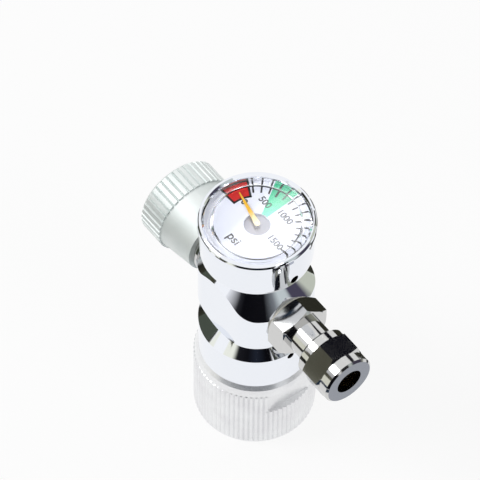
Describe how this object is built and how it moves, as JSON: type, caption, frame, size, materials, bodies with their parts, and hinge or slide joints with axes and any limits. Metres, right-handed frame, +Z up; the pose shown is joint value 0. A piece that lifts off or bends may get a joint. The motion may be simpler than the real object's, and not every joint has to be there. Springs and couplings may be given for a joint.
{
  "type": "carbon dioxide regulator",
  "caption": "Compact gas cylinder regulator: knurled hand nut below a plated body, round pressure gauge on top, adjusting knob on one side and tube outlet opposite.",
  "frame": {"origin": "centre of the hand nut's foot, on the axis of its valve thread", "axes": "+Z up along the thread and gauge axis, +X along the outlet, -X towards the adjusting knob"},
  "size_m": [0.0651, 0.0288, 0.0699],
  "materials": {
    "adjusting_knob": "satin anodised",
    "adjusting_screw": "turned steel",
    "body": "bright chromium plate on brass",
    "bonnet": "turned brass",
    "bourdon_tip": "brass",
    "bourdon_tube": "phosphor bronze",
    "compression_nut": "bright nickel plate on brass",
    "dial_backing": "plain steel plate",
    "dial_posts": "turned brass",
    "ferrule": "turned brass",
    "gauge_bezel": "bright chromium plate",
    "gauge_case": "bright chromium plate on drawn steel",
    "gauge_dial": "white enamel with printed scale",
    "gauge_lens": "clear polycarbonate",
    "gauge_seal": "nylon",
    "gauge_shank": "nickel-plated brass",
    "gauge_spacer": "bright chromium plate",
    "hairspring": "phosphor bronze strip",
    "hand_nut": "satin anodised",
    "inlet_filter": "sintered bronze",
    "inlet_stem": "turned brass",
    "inlet_washer": "nylon",
    "knob_screw": "steel",
    "link": "blanked steel",
    "lower_plate": "blanked brass",
    "main_spring": "spring steel",
    "outlet_nipple": "bright nickel plate on brass",
    "outlet_seal": "nylon",
    "pinion_arbor": "turned steel",
    "piston": "turned brass",
    "piston_ring": "nitrile rubber",
    "plate_pillars": "turned brass",
    "pointer": "golden lacquer",
    "poppet": "turned brass",
    "poppet_disc": "nylon",
    "poppet_spring": "spring steel",
    "sector_gear": "blanked brass",
    "spring_seat": "turned brass",
    "stem_seal": "nylon",
    "thrust_washer": "steel",
    "upper_plate": "blanked brass",
    "valve_seat": "turned brass"
  },
  "bodies": {
    "regulator": {"body": "body", "gauge_shank": "gauge_shank", "gauge_case": "gauge_case", "gauge_bezel": "gauge_bezel", "gauge_lens": "gauge_lens", "gauge_dial": "gauge_dial", "gauge_spacer": "gauge_spacer", "dial_backing": "dial_backing", "lower_plate": "lower_plate", "upper_plate": "upper_plate", "plate_pillars": "plate_pillars", "bourdon_tube": "bourdon_tube", "bourdon_tip": "bourdon_tip", "dial_posts": "dial_posts", "gauge_seal": "gauge_seal", "stem_seal": "stem_seal", "bonnet": "bonnet", "thrust_washer": "thrust_washer", "valve_seat": "valve_seat", "outlet_seal": "outlet_seal", "outlet_nipple": "outlet_nipple", "ferrule": "ferrule", "inlet_stem": "inlet_stem", "inlet_washer": "inlet_washer", "inlet_filter": "inlet_filter"},
    "hand_nut": {"hand_nut": "hand_nut"},
    "knob": {"adjusting_knob": "adjusting_knob", "knob_screw": "knob_screw", "adjusting_screw": "adjusting_screw"},
    "spring_seat": {"spring_seat": "spring_seat", "main_spring": "main_spring"},
    "piston": {"piston": "piston", "piston_ring": "piston_ring"},
    "poppet": {"poppet": "poppet", "poppet_disc": "poppet_disc", "poppet_spring": "poppet_spring"},
    "compression_nut": {"compression_nut": "compression_nut"},
    "sector": {"sector_gear": "sector_gear"},
    "link": {"link": "link"},
    "pointer": {"pointer": "pointer", "pinion_arbor": "pinion_arbor", "hairspring": "hairspring"}
  },
  "joints": [
    {"name": "hand_nut_turn", "type": "hinge", "parent": "regulator", "child": "hand_nut", "pos_m": [0, 0, 0.01], "axis": [0, 0, 1], "continuous": true},
    {"name": "knob_turn", "type": "hinge", "parent": "regulator", "child": "knob", "pos_m": [-0.02, 0, 0.0457], "axis": [1, 0, 0], "range_deg": [0, 1080]},
    {"name": "spring_seat_slide", "type": "slide", "parent": "regulator", "child": "spring_seat", "axis": [1, 0, 0], "range_m": [0, 0.0031], "deforming": ["main_spring"]},
    {"name": "piston_slide", "type": "slide", "parent": "regulator", "child": "piston", "axis": [1, 0, 0], "range_m": [0, 0.0004], "deforming": ["main_spring"]},
    {"name": "poppet_slide", "type": "slide", "parent": "regulator", "child": "poppet", "axis": [1, 0, 0], "range_m": [0, 0.00045], "deforming": ["poppet_spring"]},
    {"name": "compression_nut_turn", "type": "hinge", "parent": "regulator", "child": "compression_nut", "pos_m": [0.03, 0, 0.0457], "axis": [1, 0, 0], "continuous": true},
    {"name": "sector_swing", "type": "hinge", "parent": "regulator", "child": "sector", "pos_m": [0, -0.005, 0.062], "axis": [0, 0, 1], "range_deg": [0, 43]},
    {"name": "link_swing", "type": "hinge", "parent": "sector", "child": "link", "pos_m": [-0.00091, -0.0076, 0.062], "axis": [0, 0, 1], "range_deg": [-43, 0]},
    {"name": "pointer_turn", "type": "hinge", "parent": "regulator", "child": "pointer", "pos_m": [0, 0, 0.067], "axis": [0, 0, 1], "range_deg": [-172, 0], "deforming": ["hairspring"]}
  ],
  "couplings": [
    {"joint": "spring_seat_slide", "follows": "knob_turn", "m_per_rad": 0.00015915},
    {"joint": "poppet_slide", "follows": "piston_slide", "ratio": 1},
    {"joint": "pointer_turn", "follows": "sector_swing", "ratio": -4},
    {"joint": "link_swing", "follows": "sector_swing", "ratio": -1}
  ]
}
